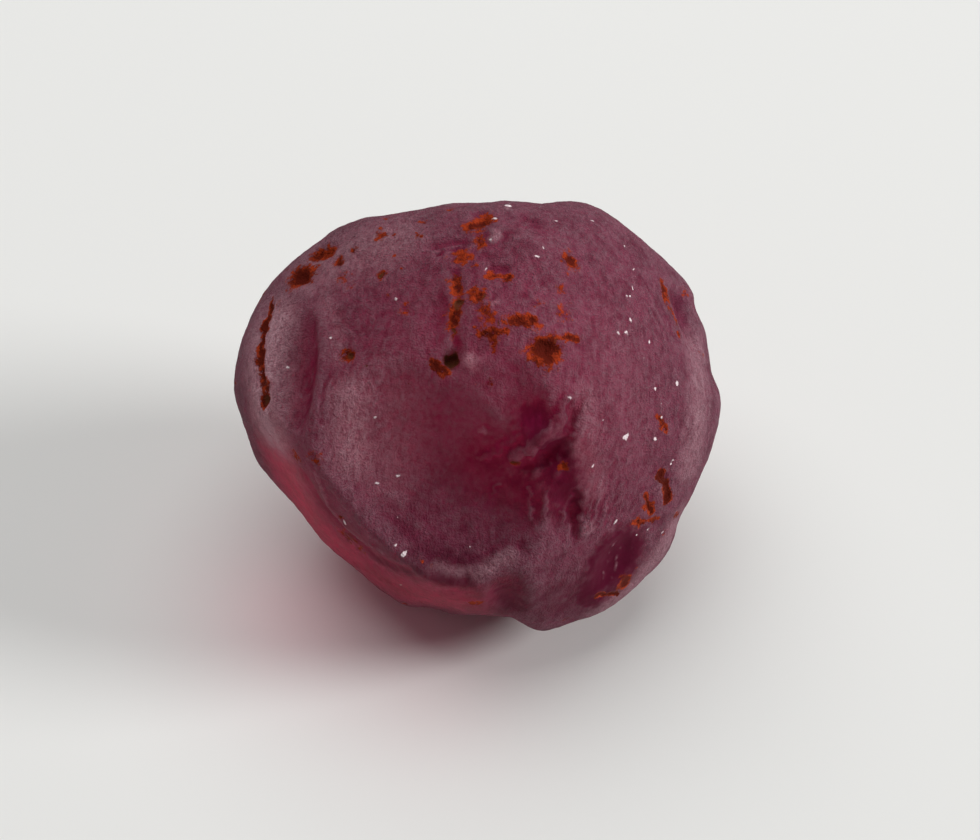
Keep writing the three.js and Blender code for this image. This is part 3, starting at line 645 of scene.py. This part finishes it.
# crests get more haze, as wear and painted highlight; hollows get less, as painted shade
HAZE_AND_HIGHLIGHT_BY_CREST = (-1.0, 1.0, 0.7, 1.3)
PALE_BY_SPECKLE = (0.36, 0.60, 0.30, 0.85)
VEIL_BY_STREAKS = (0.3, 0.7, 0.25, 1.0)
STAIN_EDGE = (0.34, 0.72)
STAIN_HEART = (0.7, 1.5, 0.0, 0.3)  # how much darker a stain is where it is strongest
RUST_EDGE = (0.40, 0.58)
PIT_EDGE = (0.4, 0.9)
GLINT_DOT_EDGE = (0.35, 0.6)
BODY_CLOUD = (0.40, 0.60)
SIDE_CLOUD = (0.38, 0.58)
SIDE_EDGE = (0.0, 0.7)
CLOUDED = (0.0, 1.0, 0.0, 0.42)  # least share of the light thrown back, by how full the frost is
ROUGH_BY_FROST = (0.0, 1.0, 0.50, 0.70)
ROUGH_BY_BROAD = (0.0, 1.0, 0.8, 1.0)
BUMP_BY_BROAD = (0.0, 1.0, 0.15, 1.0)
BUMP_BY_CLEAR = (0.0, 1.0, 1.0, 0.1)

# Shares.
CLEAR_FROST = 0.55  # frost that a cleared place loses
RAGGED = 1.8  # how far noise breaks up the edges of stains
RAGGED_PIT = 0.5  # and of dark pits, as a share of that
CLEAR_PAINTED_SHADE = 0.85  # how much of the dark colour a cleared place shows
HAZE_OPAQUE = 0.45  # how much of the haze hides what is behind it
ROUGH_FINE = 0.10  # roughness that the fine noise adds
OPAQUE = {"clear": 0.9, "veil": 0.6, "pale_and_lit": 0.8, "stain": 0.95, "pit": 0.95, "glint_dot": 1.0}


def garnet_material():
    material = bpy.data.materials.new("frosted garnet")
    n = Nodes(material)
    place = n.add("ShaderNodeTexCoord").outputs["Object"]
    scaled = n.add("ShaderNodeVectorMath", operation="SCALE")
    n.link(place, scaled.inputs[0])
    scaled.inputs["Scale"].default_value = 1 / MM
    mm = scaled.outputs[0]

    in_face = n.add("ShaderNodeVectorRotate", rotation_type="X_AXIS")
    n.link(mm, in_face.inputs["Vector"])
    in_face.inputs["Angle"].default_value = -LEAN
    squeezed = n.add("ShaderNodeVectorMath", operation="MULTIPLY")
    n.link(in_face.outputs[0], squeezed.inputs[0])
    squeezed.inputs[1].default_value = STREAK_SQUEEZE

    slow = n.noise(mm, *SLOW)
    patchy = n.noise(mm, *PATCHY)
    fine = n.noise(mm, *FINE)
    grit = n.noise(mm, *GRIT)
    streaks = n.noise(squeezed.outputs[0], *STREAKS)

    # frost: strong on worn faces and crests, weak where the stone is cleared; the extra haze on
    # crests is wear and painted highlight, and the lesser haze in hollows is painted shade
    clear = n.attribute("clear")
    broad = n.attribute("broad")
    crest = n.attribute("crest")
    worn = n.blend((patchy, slow, crest), WORN_MIX)
    worn = n.math("SUBTRACT", worn, n.math("MULTIPLY", clear, CLEAR_FROST))
    frost = n.ramp(worn, *FROST_EDGE)
    speckle = n.blend((fine, grit, streaks), SPECKLE_MIX)
    haze = n.math("MULTIPLY", frost, n.ramp(speckle, *HAZE_BY_SPECKLE))
    haze = n.math("MULTIPLY", haze, n.ramp(broad, *HAZE_BY_BROAD))
    haze = n.math("MULTIPLY", haze, n.ramp(crest, *HAZE_AND_HIGHLIGHT_BY_CREST))
    pale_and_lit = n.math("MULTIPLY", n.attribute("pale_and_lit"), n.ramp(speckle, *PALE_BY_SPECKLE))
    veil = n.math("MULTIPLY", n.attribute("veil"), n.ramp(streaks, *VEIL_BY_STREAKS))

    # stains and dark pits, with ragged edges
    ragged = n.math("MULTIPLY", n.math("SUBTRACT", fine, NOISE_MIDDLE), RAGGED)
    stain = n.math("ADD", n.attribute("stain"), ragged)
    stain = n.ramp(stain, *STAIN_EDGE)
    shade = n.blend((patchy, fine, grit), RUST_MIX)
    shade = n.math("SUBTRACT", shade, n.ramp(n.attribute("stain"), *STAIN_HEART))
    rust = n.mix(n.ramp(shade, *RUST_EDGE), RUST_DARK, RUST_ORANGE)
    pit = n.math("ADD", n.attribute("hollow"), n.math("MULTIPLY", ragged, RAGGED_PIT))
    pit = n.ramp(pit, *PIT_EDGE)
    glint_dot = n.ramp(n.attribute("glint_dot"), *GLINT_DOT_EDGE)

    # colour: the clouded body first, then each thing that lies over it
    cloud = n.blend((patchy, streaks), CLOUD_MIX)
    body = n.mix(n.ramp(cloud, *BODY_CLOUD), GARNET_DEEP, GARNET_COLOUR)
    side = n.mix(n.ramp(cloud, *SIDE_CLOUD), SIDE_DEEP, SIDE_COLOUR)
    body = n.mix(n.ramp(broad, *SIDE_EDGE), side, body)
    # painted shade over the cleared places
    body = n.mix(n.math("MULTIPLY", clear, CLEAR_PAINTED_SHADE), body, PAINTED_SHADE_DARK)
    colour = n.mix(haze, body, FROST_COLOUR)
    colour = n.mix(veil, colour, VEIL_COLOUR)
    colour = n.mix(pale_and_lit, colour, PALE_AND_LIT_COLOUR)
    colour = n.mix(stain, colour, rust)
    colour = n.mix(pit, colour, PIT_COLOUR)
    colour = n.mix(glint_dot, colour, GLINT_DOT_COLOUR)

    # how much light goes through, and how rough the surface is
    haze_cover = n.math("MULTIPLY", haze, HAZE_OPAQUE)
    opaque = n.math("ADD", haze_cover, n.ramp(broad, *CLOUDED))
    covers = {
        "clear": clear, "veil": veil, "pale_and_lit": pale_and_lit, "stain": stain, "pit": pit, "glint_dot": glint_dot,
    }
    for name, cover in covers.items():
        opaque = n.math("MAXIMUM", opaque, n.math("MULTIPLY", cover, OPAQUE[name]))
    seen_through = n.math("SUBTRACT", 1.0, opaque, clamp=True)
    fine_rough = n.math("MULTIPLY", fine, ROUGH_FINE)
    roughness = n.math("ADD", n.ramp(frost, *ROUGH_BY_FROST), fine_rough)
    roughness = n.math("MULTIPLY", roughness, n.ramp(broad, *ROUGH_BY_BROAD), clamp=True)

    bump = n.add("ShaderNodeBump")
    uneven = n.math("MULTIPLY", n.ramp(broad, *BUMP_BY_BROAD), n.ramp(clear, *BUMP_BY_CLEAR))
    n.link(uneven, bump.inputs["Strength"])
    bump.inputs["Distance"].default_value = BUMP_DEPTH * MM
    n.link(speckle, bump.inputs["Height"])

    shader = n.add("ShaderNodeBsdfPrincipled")
    shader.inputs["IOR"].default_value = REFRACTION
    shader.inputs["Specular IOR Level"].default_value = SHINE
    shader.inputs["Specular Tint"].default_value = GLINT
    n.link(colour, shader.inputs["Base Color"])
    n.link(roughness, shader.inputs["Roughness"])
    n.link(seen_through, shader.inputs["Transmission Weight"])
    n.link(bump.outputs[0], shader.inputs["Normal"])
    volume = n.add("ShaderNodeVolumeAbsorption")
    volume.inputs["Color"].default_value = ABSORPTION_COLOUR
    volume.inputs["Density"].default_value = ABSORPTION_DENSITY
    output = n.add("ShaderNodeOutputMaterial")
    n.link(shader.outputs[0], output.inputs["Surface"])
    n.link(volume.outputs[0], output.inputs["Volume"])
    return material


# ---------------------------------------------------------------- stage, lights and camera
# Row frame, in metres and watts.
FLOOR_RADIUS = 1.5
FLOOR_CORNERS = 96
FLOOR_COLOUR = (0.82, 0.82, 0.80, 1)
FLOOR_ROUGHNESS = 0.8
FLOOR_SHINE = 0.2  # specular level

WORLD_COLOUR = (0.97, 0.985, 1.0, 1)
WORLD_STRENGTH = 0.10
MIDDLE = (0, 0, 0.005)  # of the stone, which the lights look at

# Round soft lights: name, place, width and power.
SOFTBOXES = [
    ("right light", (0.42, -0.01, 0.19), 0.17, 1.70),
    ("top light", (-0.025, 0.078, 0.20), 0.28, 0.385),
]

# Small lights that stand in for light which the stone throws on the floor beside it: name,
# X and Y in mm, and power. They hang this high under the stone's edge and look down.
GLOWS = [("left glow", -4.7, -2.4, 1.6e-5), ("front glow", -1.0, -5.0, 0.8e-5)]
GLOW_HEIGHT = 3  # mm
GLOW_WIDTH = 0.003
GLOW_COLOUR = (1, 0.10, 0.24)

CAMERA_PLACE = Vector((0.000305, -0.051649, 0.066016))
CAMERA_ELEVATION = math.radians(50)
CAMERA_NEAR = 0.001  # nothing closer is drawn
LENS = 120  # mm
SENSOR = 36  # mm


def floor_material():
    material = bpy.data.materials.new("pale floor")
    n = Nodes(material)
    shader = n.add("ShaderNodeBsdfPrincipled")
    shader.inputs["Base Color"].default_value = FLOOR_COLOUR
    shader.inputs["Roughness"].default_value = FLOOR_ROUGHNESS
    shader.inputs["Specular IOR Level"].default_value = FLOOR_SHINE
    output = n.add("ShaderNodeOutputMaterial")
    n.link(shader.outputs[0], output.inputs["Surface"])
    return material


def add_floor():
    bpy.ops.mesh.primitive_circle_add(
        vertices=FLOOR_CORNERS, radius=FLOOR_RADIUS, fill_type="NGON"
    )
    floor = bpy.context.object
    floor.name = "floor"
    floor.data.materials.append(floor_material())


def aim(thing, place, target):
    thing.location = place
    thing.rotation_mode = "QUATERNION"
    thing.rotation_quaternion = (Vector(target) - Vector(place)).to_track_quat("-Z", "Y")


def add_softbox(name, place, target, size, power, colour=(1, 1, 1)):
    lamp = bpy.data.lights.new(name, "AREA")
    lamp.shape = "DISK"
    lamp.size = size
    lamp.energy = power
    lamp.color = colour
    thing = bpy.data.objects.new(name, lamp)
    bpy.context.scene.collection.objects.link(thing)
    aim(thing, place, target)
    thing.visible_camera = False


def add_world():
    world = bpy.data.worlds.new("studio")
    bpy.context.scene.world = world
    world.use_nodes = True
    background = world.node_tree.nodes["Background"]
    background.inputs["Color"].default_value = WORLD_COLOUR
    background.inputs["Strength"].default_value = WORLD_STRENGTH


def add_camera():
    camera = bpy.data.cameras.new("camera")
    camera.lens = LENS
    camera.sensor_width = SENSOR
    camera.clip_start = CAMERA_NEAR
    thing = bpy.data.objects.new("camera", camera)
    bpy.context.scene.collection.objects.link(thing)
    forward = Vector((0, math.cos(CAMERA_ELEVATION), -math.sin(CAMERA_ELEVATION)))
    aim(thing, CAMERA_PLACE, CAMERA_PLACE + forward)
    bpy.context.scene.camera = thing


# ---------------------------------------------------------------- scene
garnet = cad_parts["garnet"]
stone = make_object(*build_skin(garnet))
stone.data.materials.append(garnet_material())
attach(stone, "root")
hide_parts("garnet")

add_floor()
add_world()
for name, place, width, power in SOFTBOXES:
    add_softbox(name, place, MIDDLE, width, power)
for name, x, y, power in GLOWS:
    spot = Vector((x, y, GLOW_HEIGHT)) * MM
    add_softbox(name, spot, spot - Vector((0, 0, 1)), GLOW_WIDTH, power, GLOW_COLOUR)
add_camera()
bpy.context.scene.view_settings.view_transform = "Standard"


def corners(box):
    return [[float(value) for value in corner] for corner in box]
